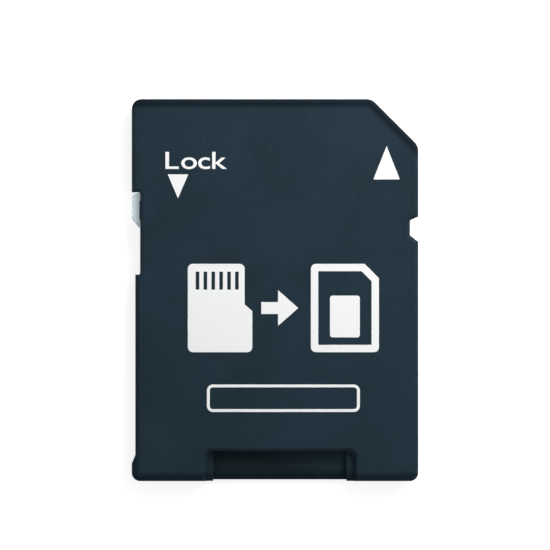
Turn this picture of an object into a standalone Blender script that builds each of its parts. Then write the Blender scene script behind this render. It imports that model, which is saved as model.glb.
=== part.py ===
"""Adapter that carries a small memory card in a full-size memory card socket.

Units are metres and +Z is up. The adapter lies on its back: the front faces up, the leading edge
with the contact pads points along +Y, and the origin is under the middle of the outline, on the
plane that the back rests on.
"""

import math

import bmesh
import bpy
from mathutils import Vector

# Overall size
CARD_WIDTH = 0.0240
CARD_LENGTH = 0.0320
CARD_THICKNESS = 0.0021

# Outline of both covers
LEADING_CHAMFER = 0.0039
CHAMFER_END_RADIUS = 0.0010
LEADING_CORNER_RADIUS = 0.0008
TRAILING_CORNER_RADIUS = 0.0007
NOTCH_INNER_RADIUS = 0.00015

# The left edge stands back a little between the lock notch and the trailing corner
SIDE_RELIEF_DEPTH = 0.0003
SIDE_RELIEF_END = 0.0022
SIDE_RELIEF_RAMP = 0.0007

# Notch in the right edge that a socket's latch drops into, measured from the leading edge
LATCH_NOTCH_START = 0.00985
LATCH_NOTCH_UPPER_RAMP = 0.00030
LATCH_NOTCH_FLOOR = 0.00125
LATCH_NOTCH_LOWER_RAMP = 0.00055
LATCH_NOTCH_DEPTH = 0.0007

# Notch in the left edge that the lock slider runs in, measured from the leading edge
LOCK_NOTCH_START = 0.0078
LOCK_NOTCH_LENGTH = 0.0069
LOCK_NOTCH_DEPTH = 0.0007

# Levels: the rails are measured down from the front face, the covers meet at the parting line
RAIL_THICKNESS = 0.0014
RAIL_WIDTH = 0.00085
FRONT_COVER_THICKNESS = 0.0007
FRONT_EDGE_ROUND = 0.0003
BACK_EDGE_CHAMFER = 0.0002
SEAM_CHAMFER = 0.00006

# Slot for the small card, open at the trailing edge
SLOT_CENTRE = 0.0004
SLOT_WIDTH = 0.0112
SLOT_NARROW_WIDTH = 0.0099
SLOT_DEPTH = 0.0150
SLOT_STEP_START = 0.0086
SLOT_STEP_RUN = 0.0013
SLOT_HEIGHT = 0.0008
SLOT_SKIN = 0.0005
SLOT_END_RADIUS = 0.0006
MOUTH_RUN = 0.0010
MOUTH_DROP = 0.00025
MOUTH_FLARE = 0.0003
MOUTH_SETBACK = 0.0001

# Recess in the front cover where a finger reaches the small card
RECESS_WIDTH = 0.0122
RECESS_DEPTH = 0.0024
RECESS_CORNER_RADIUS = 0.0006
RECESS_DRAFT = 0.00035

# Contact pads and the windows that show them; ribs part the windows, which share the card's width
PAD_SIDE_INSET = 0.0024
WINDOW_RIB = 0.0010
LAST_PAD_PITCH = 0.0017
NARROW_WINDOW = 0.0011
PAD_SETBACK = 0.0010
PAD_LENGTH = 0.0041
CORNER_PAD_SETBACK = 0.0036
CORNER_PAD_LENGTH = 0.0030
PAD_HELD_MARGIN = 0.0001
WINDOW_END_MARGIN = 0.0001
WINDOW_RELIEF = 0.00004
WINDOW_SLOPE_RUN = 0.0004

# Stamped leads behind the pads
METAL_THICKNESS = 0.00015
NOSE_RUN = 0.00025
NOSE_RISE = 0.00012
LEAD_WIDTH = 0.0006
SHOULDER_RUN = 0.00015
FAN_START = 0.0068
FAN_LENGTH = 0.0050
BRIDGE_WIDTH = 0.0006
BRIDGE_RISE = 0.0003
BRIDGE_RAMP = 0.0006
BRIDGE_POSITION = 0.0060

# Spring fingers that press on the small card
FINGER_PITCH = 0.0011
FINGER_WIDTH = 0.0005
FINGER_ROOT_RUN = 0.0010
FINGER_CREST_REACH = 0.0017
FINGER_PROUD = 0.0003
CREST_RADIUS = 0.0006
CREST_ENTRY_ANGLE = math.radians(4)
CREST_EXIT_ANGLE = math.radians(38)
FINGER_TIP_RUN = 0.0004
FINGER_BAY_DEPTH = 0.00045
FINGER_BAY_MARGIN = 0.00035
FINGER_TIP_ROOM = 0.0009

# Insulating carrier that holds the leads
CARRIER_MARGIN = 0.0004
CARRIER_RIM = 0.0006
CARRIER_TAIL = 0.0008
COMB_DEPTH = 0.0006
COMB_GAP = 0.00012

# Lock slider
GRIP_LENGTH = 0.00295
GRIP_HEIGHT = 0.0011
GRIP_INSET = 0.00003
GRIP_UPPER_TAPER = 0.00015
GRIP_LOWER_TAPER = 0.00075
GRIP_CORNER_RADIUS = 0.00015
GRIP_EDGE_ROUND = 0.00006
RIDGE_COUNT = 4
RIDGE_PITCH = 0.00042
RIDGE_DEPTH = 0.0001
LIP_THICKNESS = 0.00035
WEB_LENGTH = 0.0016
WEB_HEIGHT = 0.0004
FLANGE_LENGTH = 0.0022
FLANGE_THICKNESS = 0.0006
FLANGE_HEIGHT = 0.0008
SLIT_END_MARGIN = 0.0002

# Steel leaf beside the narrow part of the slot, which rests in the small card's notch
LEAF_LENGTH = 0.0039
LEAF_THICKNESS = 0.00015
LEAF_REACH = 0.0003
LEAF_POCKET_WIDTH = 0.0009
LEAF_POCKET_START = 0.0007
LEAF_FLAT_RUN = 0.0006

# Pins on the front cover that fix it to the back cover
PIN_RADIUS = 0.0004
PIN_LENGTH = 0.00045
PIN_SIDE_INSET = 0.0032
PIN_ROW_COUNT = 3
PIN_FIRST_ROW = 0.0018
PIN_ROW_PITCH = 0.0091

# Clearances
SEAT_GAP = 0.00002
FIT_GAP = 0.00003
SLIDE_GAP = 0.00005

# Working values that only the modelling needs
CUT_MARGIN = 0.0005
ARC_STEP = math.radians(15)
ROUND_SEGMENTS = 3
PIN_SEGMENTS = 16
LEAF_STEPS = 14

# Places worked out from the sizes above
HALF_WIDTH = CARD_WIDTH / 2
LEADING_EDGE = CARD_LENGTH / 2
TRAILING_EDGE = -CARD_LENGTH / 2
RAIL_FLOOR = CARD_THICKNESS - RAIL_THICKNESS
RAIL_MIDDLE = CARD_THICKNESS - RAIL_THICKNESS / 2
PARTING = CARD_THICKNESS - FRONT_COVER_THICKNESS
SLOT_TOP = CARD_THICKNESS - SLOT_SKIN
SLOT_FLOOR = SLOT_TOP - SLOT_HEIGHT
SLOT_LEFT = SLOT_CENTRE - SLOT_WIDTH / 2
SLOT_RIGHT = SLOT_CENTRE + SLOT_WIDTH / 2
SLOT_NARROW_RIGHT = SLOT_LEFT + SLOT_NARROW_WIDTH
SLOT_END = TRAILING_EDGE + SLOT_DEPTH
FINGER_CENTRE = SLOT_LEFT + SLOT_NARROW_WIDTH / 2
METAL_LEVEL = RAIL_FLOOR + SEAT_GAP + METAL_THICKNESS / 2
LOCK_TOP = LEADING_EDGE - LOCK_NOTCH_START
LOCK_BOTTOM = LOCK_TOP - LOCK_NOTCH_LENGTH
LOCK_FLOOR = -HALF_WIDTH + LOCK_NOTCH_DEPTH
SLIDER_REST = LOCK_TOP - SLIDE_GAP - GRIP_LENGTH / 2
FAN_TOP = LEADING_EDGE - FAN_START
FAN_BOTTOM = FAN_TOP - FAN_LENGTH
CARRIER_END = FAN_BOTTOM - CARRIER_TAIL
BRIDGE_LINE = LEADING_EDGE - BRIDGE_POSITION

# The lead that each pad belongs to, from the chamfered corner leftwards; a bridge joins the ground pads
PAD_LEADS = ("data_2", "data_3", "command", "ground", "supply", "clock", "ground", "data_0", "data_1")


# Materials


def linear(value):
    """One display colour value from 0 to 255 as linear light."""
    share = value / 255
    return share / 12.92 if share <= 0.04045 else ((share + 0.055) / 1.055) ** 2.4


def principled(name, colour, roughness, metallic):
    """A Principled material from display colour values."""
    material = bpy.data.materials.new(name)
    material.use_nodes = True
    shader = material.node_tree.nodes["Principled BSDF"]
    shader.inputs["Base Color"].default_value = (*map(linear, colour), 1)
    shader.inputs["Roughness"].default_value = roughness
    shader.inputs["Metallic"].default_value = metallic
    material.diffuse_color = (*map(linear, colour), 1)
    return material


# Modelling helpers


def rounded(corners):
    """The outline through (x, y, radius) corners, with an arc where the radius isn't zero."""
    points = []
    for i, (x, y, radius) in enumerate(corners):
        corner = Vector((x, y))
        if radius == 0:
            points.append(corner)
            continue
        before = (Vector(corners[i - 1][:2]) - corner).normalized()
        after = (Vector(corners[(i + 1) % len(corners)][:2]) - corner).normalized()
        half_angle = before.angle(after) / 2
        reach = radius / math.tan(half_angle)
        centre = corner + (before + after).normalized() * radius / math.sin(half_angle)
        start = corner + before * reach - centre
        end = corner + after * reach - centre
        turn = math.atan2(start.x * end.y - start.y * end.x, start.dot(end))
        steps = max(2, round(abs(turn) / ARC_STEP))
        first = math.atan2(start.y, start.x)
        for step in range(steps + 1):
            angle = first + turn * step / steps
            points.append(centre + radius * Vector((math.cos(angle), math.sin(angle))))
    return points


def rectangle(left, right, bottom, top, radius=0):
    """The outline of an upright rectangle."""
    corners = [(left, bottom), (right, bottom), (right, top), (left, top)]
    return rounded([(x, y, radius) for x, y in corners])


def place(name, mesh, material=None, location=(0, 0, 0)):
    """The bmesh as a new object of the scene, with its normals outwards."""
    bmesh.ops.recalc_face_normals(mesh, faces=mesh.faces)
    data = bpy.data.meshes.new(name)
    mesh.to_mesh(data)
    mesh.free()
    item = bpy.data.objects.new(name, data)
    item.location = location
    bpy.context.collection.objects.link(item)
    if material:
        data.materials.append(material)
    return item


def swept(corners, path):
    """A bmesh with the flat face through the corners carried along a straight path."""
    mesh = bmesh.new()
    face = mesh.faces.new([mesh.verts.new(corner) for corner in corners])
    moved = bmesh.ops.extrude_face_region(mesh, geom=[face])["geom"]
    far_corners = [item for item in moved if isinstance(item, bmesh.types.BMVert)]
    bmesh.ops.translate(mesh, verts=far_corners, vec=path)
    return mesh


def extruded(outline, bottom, top):
    """A bmesh with the outline raised from one level to another."""
    return swept([(point[0], point[1], bottom) for point in outline], (0, 0, top - bottom))


def bevel_level(mesh, level, width, segments):
    """Bevels the edges that lie at one level of a bmesh."""
    edges = [edge for edge in mesh.edges if all(abs(vert.co.z - level) < width / 10 for vert in edge.verts)]
    bmesh.ops.bevel(mesh, geom=edges, offset=width, segments=segments, profile=0.5, affect="EDGES")


def as_cutter(item):
    """Marks an object as a modelling aid that isn't part of the product."""
    item.hide_render = True
    item.display_type = "WIRE"
    return item


def cutter(name, outline, bottom, top):
    """An extruded cutter."""
    return as_cutter(place(name, extruded(outline, bottom, top)))


def combine(target, operation, tools):
    """Adds one Boolean to the target for each tool."""
    for tool in tools:
        modifier = target.modifiers.new(tool.name, "BOOLEAN")
        modifier.operation = operation
        modifier.solver = "EXACT"
        modifier.object = tool
    return target


def ribbon(stations, across, thickness):
    """A bmesh strip of metal along stations of (centre, width), its width along one direction."""
    mesh = bmesh.new()
    loops = []
    centres = [Vector(centre) for centre, _ in stations]
    for i, (_, width) in enumerate(stations):
        ahead = centres[min(i + 1, len(centres) - 1)] - centres[max(i - 1, 0)]
        ahead -= ahead.dot(across) * across
        rise = ahead.cross(across).normalized() * thickness / 2
        reach = across * width / 2
        corners = (reach + rise, reach - rise, -reach - rise, -reach + rise)
        loops.append([mesh.verts.new(centres[i] + corner) for corner in corners])
    mesh.faces.new(loops[0])
    mesh.faces.new(loops[-1])
    for near, far in zip(loops, loops[1:]):
        for side in range(4):
            following = (side + 1) % 4
            mesh.faces.new((near[side], near[following], far[following], far[side]))
    return mesh


# Outlines


def cover_outline():
    """The outline that both covers share, anticlockwise from the left trailing corner."""
    latch_start = LEADING_EDGE - LATCH_NOTCH_START
    latch_upper = latch_start - LATCH_NOTCH_UPPER_RAMP
    latch_lower = latch_upper - LATCH_NOTCH_FLOOR
    latch_end = latch_lower - LATCH_NOTCH_LOWER_RAMP
    latch_floor = HALF_WIDTH - LATCH_NOTCH_DEPTH
    relief = -HALF_WIDTH + SIDE_RELIEF_DEPTH
    relief_end = TRAILING_EDGE + SIDE_RELIEF_END
    return rounded(
        [
            (-HALF_WIDTH, TRAILING_EDGE, TRAILING_CORNER_RADIUS),
            (HALF_WIDTH, TRAILING_EDGE, TRAILING_CORNER_RADIUS),
            (HALF_WIDTH, latch_end, 0),
            (latch_floor, latch_lower, NOTCH_INNER_RADIUS),
            (latch_floor, latch_upper, NOTCH_INNER_RADIUS),
            (HALF_WIDTH, latch_start, 0),
            (HALF_WIDTH, LEADING_EDGE - LEADING_CHAMFER, CHAMFER_END_RADIUS),
            (HALF_WIDTH - LEADING_CHAMFER, LEADING_EDGE, CHAMFER_END_RADIUS),
            (-HALF_WIDTH, LEADING_EDGE, LEADING_CORNER_RADIUS),
            (-HALF_WIDTH, LOCK_TOP, 0),
            (LOCK_FLOOR, LOCK_TOP, NOTCH_INNER_RADIUS),
            (LOCK_FLOOR, LOCK_BOTTOM, NOTCH_INNER_RADIUS),
            (relief, LOCK_BOTTOM, 0),
            (relief, relief_end, 0),
            (-HALF_WIDTH, relief_end - SIDE_RELIEF_RAMP, 0),
        ]
    )


def slot_outline():
    """The outline of the small card's slot: straight on the left, narrower ahead on the right."""
    mouth = TRAILING_EDGE - CUT_MARGIN
    step = TRAILING_EDGE + SLOT_STEP_START
    return rounded(
        [
            (SLOT_LEFT, mouth, 0),
            (SLOT_RIGHT, mouth, 0),
            (SLOT_RIGHT, step, 0),
            (SLOT_NARROW_RIGHT, step + SLOT_STEP_RUN, 0),
            (SLOT_NARROW_RIGHT, SLOT_END, SLOT_END_RADIUS),
            (SLOT_LEFT, SLOT_END, SLOT_END_RADIUS),
        ]
    )


def pad_pitch():
    """The pitch of all pads but the last, which fills the width between the side insets."""
    return (CARD_WIDTH - 2 * PAD_SIDE_INSET - LAST_PAD_PITCH) / (len(PAD_LEADS) - 2)


def window_widths():
    """The width of each window, counted from the chamfered corner; the last two are narrower."""
    return [pad_pitch() - WINDOW_RIB] * (len(PAD_LEADS) - 2) + [NARROW_WINDOW] * 2


def pad_centres():
    """The x of each pad, counted from the chamfered corner."""
    first = HALF_WIDTH - PAD_SIDE_INSET
    return [first - pad_pitch() * i for i in range(len(PAD_LEADS) - 1)] + [-first]


def pad_ends(index):
    """The leading and rear y of a pad; the first one stands back from the chamfered corner."""
    if index == 0:
        front = LEADING_EDGE - CORNER_PAD_SETBACK
        return front, front - CORNER_PAD_LENGTH
    front = LEADING_EDGE - PAD_SETBACK
    return front, front - PAD_LENGTH


def lead_pads():
    """The pad whose strip runs on to the spring finger, for each lead from right to left."""
    return {name: i for i, name in enumerate(PAD_LEADS) if name not in PAD_LEADS[i + 1 :]}


def bridged_pad():
    """The ground pad that the bridge joins to the one with the spring finger."""
    return PAD_LEADS.index("ground")


def finger_centres():
    """The x of each spring finger by lead name."""
    middle = (len(lead_pads()) - 1) / 2
    return {name: FINGER_CENTRE + FINGER_PITCH * (middle - i) for i, name in enumerate(lead_pads())}


def finger_half_span():
    """Half the distance between the centres of the outermost spring fingers."""
    return (max(finger_centres().values()) - min(finger_centres().values())) / 2


def carrier_outline(inset):
    """The outline of the bay for the carrier, or with an inset that of the carrier in it."""
    right = pad_centres()[0] + window_widths()[0] / 2 + PAD_HELD_MARGIN + CARRIER_MARGIN - inset
    top = LEADING_EDGE - CARRIER_RIM - inset
    slant = HALF_WIDTH + LEADING_EDGE - LEADING_CHAMFER - (CARRIER_RIM + inset) * math.sqrt(2)
    throat = finger_half_span() + LEAD_WIDTH / 2 + CARRIER_MARGIN - inset
    shoulder = FAN_TOP - CARRIER_MARGIN / 4 + inset
    waist = FAN_BOTTOM
    end = CARRIER_END + inset
    return rounded(
        [
            (FINGER_CENTRE - throat, end, 0),
            (FINGER_CENTRE + throat, end, 0),
            (FINGER_CENTRE + throat, waist, 0),
            (right, shoulder, 0),
            (right, slant - right, 0),
            (slant - top, top, 0),
            (-right, top, 0),
            (-right, shoulder, 0),
            (FINGER_CENTRE - throat, waist, 0),
        ]
    )


# Stamped leads


def flat_run(pad, finger_x, end, grow):
    """Stations of a lead from its pad's raised nose to a y, wider by twice the growth."""
    x = pad_centres()[pad]
    front, rear = pad_ends(pad)
    wide = window_widths()[pad] + 2 * PAD_HELD_MARGIN + 2 * grow
    narrow = LEAD_WIDTH + 2 * grow
    stations = [
        ((x, front + grow, METAL_LEVEL + NOSE_RISE), wide),
        ((x, front - NOSE_RUN, METAL_LEVEL), wide),
        ((x, rear - grow, METAL_LEVEL), wide),
        ((x, rear - grow - SHOULDER_RUN, METAL_LEVEL), narrow),
    ]
    if finger_x is not None:
        stations.append(((x, FAN_TOP, METAL_LEVEL), narrow))
        stations.append(((finger_x, FAN_BOTTOM, METAL_LEVEL), narrow))
    last_x = x if finger_x is None else finger_x
    stations.append(((last_x, end, METAL_LEVEL), narrow))
    return stations


def finger_run(x):
    """Stations of a spring finger: root, rising arm, rounded crest and a tip that dips below the card."""
    crest_y = SLOT_END - FINGER_CREST_REACH
    crest_z = SLOT_FLOOR + FINGER_PROUD - METAL_THICKNESS / 2
    stations = [((x, CARRIER_END - FINGER_ROOT_RUN / 2, METAL_LEVEL), FINGER_WIDTH)]
    steps = 6
    for step in range(steps + 1):
        angle = -CREST_ENTRY_ANGLE + (CREST_ENTRY_ANGLE + CREST_EXIT_ANGLE) * step / steps
        y = crest_y - CREST_RADIUS * math.sin(angle)
        z = crest_z - CREST_RADIUS * (1 - math.cos(angle))
        stations.append(((x, y, z), FINGER_WIDTH))
    tip_y = y - FINGER_TIP_RUN * math.cos(CREST_EXIT_ANGLE)
    tip_z = z - FINGER_TIP_RUN * math.sin(CREST_EXIT_ANGLE)
    stations.append(((x, tip_y, tip_z), FINGER_WIDTH))
    return stations


def bridge_run(grow):
    """Stations of the raised strip that joins the two ground pads over the leads between them."""
    right = pad_centres()[bridged_pad()]
    left = pad_centres()[lead_pads()["ground"]]
    raised = METAL_LEVEL + BRIDGE_RISE
    width = BRIDGE_WIDTH + 2 * grow
    return [
        ((right, BRIDGE_LINE, METAL_LEVEL), width),
        ((right - BRIDGE_RAMP, BRIDGE_LINE, raised), width),
        ((left + BRIDGE_RAMP, BRIDGE_LINE, raised), width),
        ((left, BRIDGE_LINE, METAL_LEVEL), width),
    ]


def stub_end():
    """The y where the second ground pad's short strip ends, behind the bridge."""
    return BRIDGE_LINE - BRIDGE_WIDTH / 2 - SHOULDER_RUN


def make_lead(name, pad, finger_x, metal):
    """One stamped lead with its pad, flat run and spring finger."""
    stations = flat_run(pad, finger_x, CARRIER_END, 0) + finger_run(finger_x)
    return place(f"lead_{name}", ribbon(stations, Vector((1, 0, 0)), METAL_THICKNESS), metal)


def join_ground(lead):
    """Joins the second ground pad and the bridge to the ground lead."""
    stub_run = flat_run(bridged_pad(), None, stub_end(), 0)
    stub = place("ground stub", ribbon(stub_run, Vector((1, 0, 0)), METAL_THICKNESS))
    bridge = place("ground bridge", ribbon(bridge_run(0), Vector((0, 1, 0)), METAL_THICKNESS))
    return combine(lead, "UNION", [as_cutter(bridge), as_cutter(stub)])


def make_leads(metal):
    """All leads, one object each."""
    for name, finger_x in finger_centres().items():
        lead = make_lead(name, lead_pads()[name], finger_x, metal)
        if name == "ground":
            join_ground(lead)


# Contact carrier


def groove_cutters():
    """A cutter along each lead's flat run, one fit gap larger all round."""
    thickness = METAL_THICKNESS + 2 * FIT_GAP
    end = CARRIER_END - CUT_MARGIN
    runs = {name: flat_run(lead_pads()[name], x, end, FIT_GAP) for name, x in finger_centres().items()}
    runs["stub"] = flat_run(bridged_pad(), None, stub_end() - FIT_GAP, FIT_GAP)
    cutters = [
        as_cutter(place(f"{name} groove", ribbon(run, Vector((1, 0, 0)), thickness)))
        for name, run in runs.items()
    ]
    bridge = ribbon(bridge_run(FIT_GAP), Vector((0, 1, 0)), thickness)
    return cutters + [as_cutter(place("bridge groove", bridge))]


def comb_cutters():
    """A notch round each spring finger where it leaves the carrier."""
    half = FINGER_WIDTH / 2 + COMB_GAP
    end = CARRIER_END - CUT_MARGIN
    root = CARRIER_END + COMB_DEPTH
    return [
        cutter(f"{name} comb", rectangle(x - half, x + half, end, root), 0, CARD_THICKNESS)
        for name, x in finger_centres().items()
    ]


def make_carrier(material):
    """The insulating bar with a groove for every lead in its underside and a comb at its end."""
    mesh = extruded(carrier_outline(FIT_GAP), RAIL_FLOOR + SEAT_GAP, PARTING - SEAT_GAP)
    carrier = place("contact_carrier", mesh, material)
    return combine(carrier, "DIFFERENCE", groove_cutters() + comb_cutters())


# Covers


def rail_cutter(side):
    """A bar that cuts the rail step along one long edge and chamfers the back body beside it."""
    inner = HALF_WIDTH - RAIL_WIDTH
    outer = HALF_WIDTH + CUT_MARGIN
    profile = [
        (outer, RAIL_FLOOR),
        (inner, RAIL_FLOOR),
        (inner, BACK_EDGE_CHAMFER),
        (inner - BACK_EDGE_CHAMFER - CUT_MARGIN, -CUT_MARGIN),
        (outer, -CUT_MARGIN),
    ]
    start = TRAILING_EDGE - CUT_MARGIN
    mesh = swept([(side * x, start, z) for x, z in profile], (0, CARD_LENGTH + 2 * CUT_MARGIN, 0))
    return as_cutter(place("right rail" if side > 0 else "left rail", mesh))


def window_cutters():
    """A window in the back for each pad: open ahead, sloped at the rear and narrower than the pad."""
    ceiling = RAIL_FLOOR + WINDOW_RELIEF
    front = LEADING_EDGE + CUT_MARGIN
    cutters = []
    for i, (x, width) in enumerate(zip(pad_centres(), window_widths())):
        rear = pad_ends(i)[1] + WINDOW_END_MARGIN
        slope_end = rear - WINDOW_SLOPE_RUN * (ceiling + CUT_MARGIN) / ceiling
        profile = [(front, -CUT_MARGIN), (front, ceiling), (rear, ceiling), (slope_end, -CUT_MARGIN)]
        mesh = swept([(x - width / 2, y, z) for y, z in profile], (width, 0, 0))
        cutters.append(as_cutter(place(f"window {i + 1}", mesh)))
    return cutters


def mouth_cutter():
    """The sloped and flared lead-in of the slot floor at the trailing edge."""
    left = SLOT_LEFT - MOUTH_FLARE
    slope = MOUTH_DROP / MOUTH_RUN
    outer = TRAILING_EDGE - CUT_MARGIN
    profile = [
        (outer, SLOT_FLOOR - slope * (MOUTH_RUN + CUT_MARGIN)),
        (TRAILING_EDGE + MOUTH_RUN, SLOT_FLOOR),
        (TRAILING_EDGE + MOUTH_RUN, SLOT_FLOOR + MOUTH_DROP),
        (outer, SLOT_FLOOR + MOUTH_DROP),
    ]
    mesh = swept([(left, y, z) for y, z in profile], (SLOT_WIDTH + 2 * MOUTH_FLARE, 0, 0))
    return as_cutter(place("slot mouth", mesh))


def lock_cutters():
    """The slit in the lock notch's floor and the pocket behind it, which both covers share."""
    pocket_left = LOCK_FLOOR + LIP_THICKNESS
    pocket_right = pocket_left + FLANGE_THICKNESS + 2 * SLIDE_GAP
    half_pocket = FLANGE_HEIGHT / 2 + SLIDE_GAP
    half_slit = WEB_HEIGHT / 2 + SLIDE_GAP
    travel_room = (GRIP_LENGTH - WEB_LENGTH) / 2 - SLIT_END_MARGIN
    slit = rectangle(
        LOCK_FLOOR - CUT_MARGIN,
        pocket_left + FLANGE_THICKNESS / 2,
        LOCK_BOTTOM + travel_room,
        LOCK_TOP - travel_room,
    )
    pocket = rectangle(pocket_left, pocket_right, LOCK_BOTTOM, LOCK_TOP)
    return [
        cutter("lock slit", slit, RAIL_MIDDLE - half_slit, RAIL_MIDDLE + half_slit),
        cutter("lock pocket", pocket, RAIL_MIDDLE - half_pocket, RAIL_MIDDLE + half_pocket),
    ]


def leaf_pocket_ends():
    """The leading and rear y of the retention spring's pocket."""
    start = SLOT_END - LEAF_POCKET_START
    return start, start - LEAF_LENGTH - 2 * FIT_GAP


def pin_places():
    """The x and y of each fixing pin."""
    side = HALF_WIDTH - PIN_SIDE_INSET
    rows = [TRAILING_EDGE + PIN_FIRST_ROW + PIN_ROW_PITCH * i for i in range(PIN_ROW_COUNT)]
    return [(sign * side, row) for row in rows for sign in (-1, 1)]


def round_bar(name, x, y, radius, bottom, top):
    """An upright cylinder used to add a pin or cut its hole."""
    mesh = bmesh.new()
    bmesh.ops.create_cone(
        mesh,
        cap_ends=True,
        segments=PIN_SEGMENTS,
        radius1=radius,
        radius2=radius,
        depth=top - bottom,
    )
    return as_cutter(place(name, mesh, location=(x, y, (bottom + top) / 2)))


def back_pockets():
    """Cutters for everything that lies in the back cover."""
    open_top = PARTING + CUT_MARGIN
    finger_reach = finger_half_span() + FINGER_WIDTH / 2 + FINGER_BAY_MARGIN
    crest_y = SLOT_END - FINGER_CREST_REACH
    bay = rectangle(
        FINGER_CENTRE - finger_reach,
        FINGER_CENTRE + finger_reach,
        crest_y - CREST_RADIUS - FINGER_TIP_ROOM,
        CARRIER_END + FIT_GAP,
    )
    leaf_start, leaf_end = leaf_pocket_ends()
    leaf_right = SLOT_NARROW_RIGHT + LEAF_POCKET_WIDTH
    leaf = rectangle(SLOT_NARROW_RIGHT - CUT_MARGIN, leaf_right, leaf_end, leaf_start)
    return [
        cutter("carrier bay", carrier_outline(0), RAIL_FLOOR, open_top),
        cutter("finger bay", bay, SLOT_FLOOR - FINGER_BAY_DEPTH, open_top),
        cutter("slot floor", slot_outline(), SLOT_FLOOR, open_top),
        cutter("leaf pocket", leaf, SLOT_FLOOR - SEAT_GAP, open_top),
    ]


def make_back_cover(material, lock_tools):
    """The moulded back half with rails, windows, ribs, slot floor and pockets."""
    mesh = extruded(cover_outline(), 0, PARTING)
    bevel_level(mesh, 0, BACK_EDGE_CHAMFER, 1)
    bevel_level(mesh, PARTING, SEAM_CHAMFER, 1)
    cover = place("back_cover", mesh, material)
    setback = rectangle(
        SLOT_LEFT,
        SLOT_RIGHT,
        TRAILING_EDGE - CUT_MARGIN,
        TRAILING_EDGE + MOUTH_SETBACK,
    )
    tools = [rail_cutter(1), rail_cutter(-1)]
    tools += window_cutters()
    tools += back_pockets()
    tools += [mouth_cutter(), cutter("mouth setback", setback, -CUT_MARGIN, PARTING + CUT_MARGIN)]
    tools += lock_tools
    hole_floor = PARTING - PIN_LENGTH - SLIDE_GAP
    hole_top = PARTING + CUT_MARGIN
    for i, (x, y) in enumerate(pin_places()):
        tools.append(round_bar(f"pin hole {i + 1}", x, y, PIN_RADIUS + FIT_GAP, hole_floor, hole_top))
    return combine(cover, "DIFFERENCE", tools)


def recess_cutter():
    """The finger recess, whose walls lean outwards towards the front face."""
    left = SLOT_CENTRE - RECESS_WIDTH / 2
    right = SLOT_CENTRE + RECESS_WIDTH / 2
    inner = TRAILING_EDGE + RECESS_DEPTH
    bottom = PARTING - CUT_MARGIN
    top = CARD_THICKNESS + CUT_MARGIN
    mesh = bmesh.new()
    loops = []
    for level in (bottom, top):
        lean = RECESS_DRAFT * (level - PARTING) / FRONT_COVER_THICKNESS
        outline = rounded(
            [
                (left - lean, TRAILING_EDGE - CUT_MARGIN, 0),
                (right + lean, TRAILING_EDGE - CUT_MARGIN, 0),
                (right + lean, inner + lean, RECESS_CORNER_RADIUS),
                (left - lean, inner + lean, RECESS_CORNER_RADIUS),
            ]
        )
        corners = [mesh.verts.new((point.x, point.y, level)) for point in outline]
        loops += mesh.faces.new(corners).edges
    bmesh.ops.bridge_loops(mesh, edges=loops)
    return as_cutter(place("finger recess", mesh))


def make_front_cover(material, lock_tools):
    """The moulded front half with rounded edges, slot roof, finger recess and fixing pins."""
    mesh = extruded(cover_outline(), PARTING + SEAT_GAP, CARD_THICKNESS)
    bevel_level(mesh, CARD_THICKNESS, FRONT_EDGE_ROUND, ROUND_SEGMENTS)
    bevel_level(mesh, PARTING + SEAT_GAP, SEAM_CHAMFER, 1)
    cover = place("front_cover", mesh, material)
    roof = cutter("slot roof", slot_outline(), PARTING - CUT_MARGIN, SLOT_TOP)
    combine(cover, "DIFFERENCE", [roof, recess_cutter()] + lock_tools)
    pin_top = PARTING + FRONT_COVER_THICKNESS / 2
    pins = [
        round_bar(f"pin {i + 1}", x, y, PIN_RADIUS, PARTING - PIN_LENGTH, pin_top)
        for i, (x, y) in enumerate(pin_places())
    ]
    return combine(cover, "UNION", pins)


# Lock slider


def block(name, outline, height):
    """A solid centred on the slider's own origin level."""
    return as_cutter(place(name, extruded(outline, -height / 2, height / 2)))


def ridge_cutters():
    """V grooves across the outer face of the grip."""
    outer = LOCK_NOTCH_DEPTH - GRIP_INSET
    cutters = []
    for i in range(RIDGE_COUNT):
        y = RIDGE_PITCH * (i - (RIDGE_COUNT - 1) / 2) + (GRIP_LOWER_TAPER - GRIP_UPPER_TAPER) / 2
        outline = [
            (-outer - RIDGE_DEPTH, y + 2 * RIDGE_DEPTH),
            (-outer - RIDGE_DEPTH, y - 2 * RIDGE_DEPTH),
            (-outer + RIDGE_DEPTH, y),
        ]
        cutters.append(block(f"ridge {i + 1}", outline, GRIP_HEIGHT + 2 * CUT_MARGIN))
    return cutters


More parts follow.
